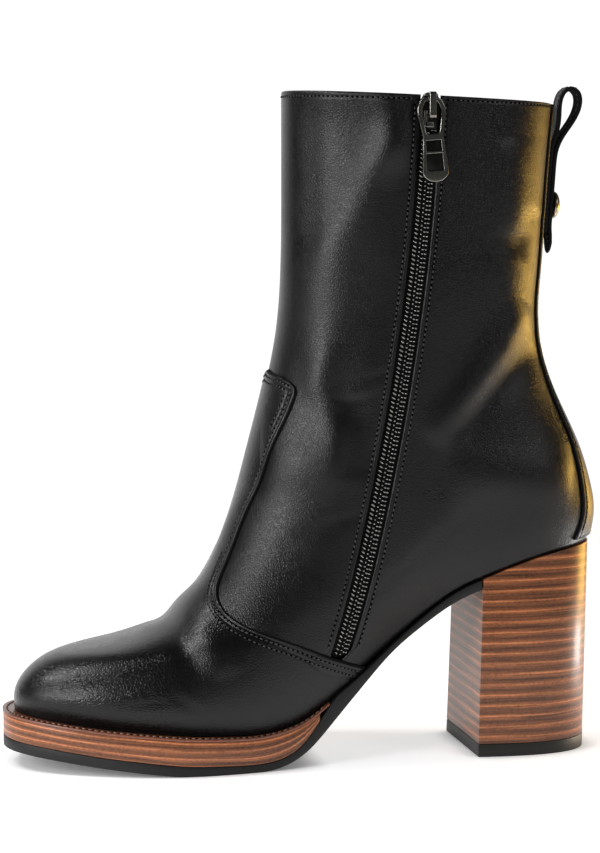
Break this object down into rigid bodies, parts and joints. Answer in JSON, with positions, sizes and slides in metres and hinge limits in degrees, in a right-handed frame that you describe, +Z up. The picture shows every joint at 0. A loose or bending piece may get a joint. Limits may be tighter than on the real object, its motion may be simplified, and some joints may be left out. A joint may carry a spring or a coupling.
{
  "type": "ankle boot",
  "caption": "Leather ankle boot with a stacked block heel, a low platform, an inside zip with a pull tab and a riveted pull strap at the back.",
  "frame": {"origin": "on the floor under the middle of the boot's bounding box", "axes": "+Z up, -X toward the toe, -Y toward the zip side, which is the inner side of the foot"},
  "size_m": [0.2467, 0.0983, 0.2731],
  "materials": {
    "quarter_leather": "satin",
    "vamp_leather": "satin",
    "stay_leather": "satin",
    "insole_leather": "matt",
    "welt_leather": "satin",
    "stacked_leather": "satin",
    "outsole_rubber": "matt",
    "heel_leather": "satin",
    "lift_rubber": "matt",
    "zip_tape_cloth": "matt",
    "zip_chain_metal": "satin",
    "slider_gunmetal": "satin",
    "pull_gunmetal": "satin",
    "strap_leather": "satin",
    "rivet_brass": "polished"
  },
  "bodies": {
    "boot": {"upper": "quarter_leather", "vamp": "vamp_leather", "back_stay": "stay_leather", "insole": "insole_leather", "welt": "welt_leather", "platform": "stacked_leather", "outsole": "outsole_rubber", "heel_block": "heel_leather", "top_lift": "lift_rubber", "zip_tape": "zip_tape_cloth", "zip_chain": "zip_chain_metal", "zip_slider": "slider_gunmetal", "pull_strap": "strap_leather", "rivet": "rivet_brass"},
    "pull_tab": {"zip_pull": "pull_gunmetal"}
  },
  "joints": [
    {"name": "zip_pull_hinge", "type": "hinge", "parent": "boot", "child": "pull_tab", "pos_m": [0.0448, -0.04273, 0.267], "axis": [-0.9973, 0, -0.0732], "range_deg": [0, 150]}
  ]
}
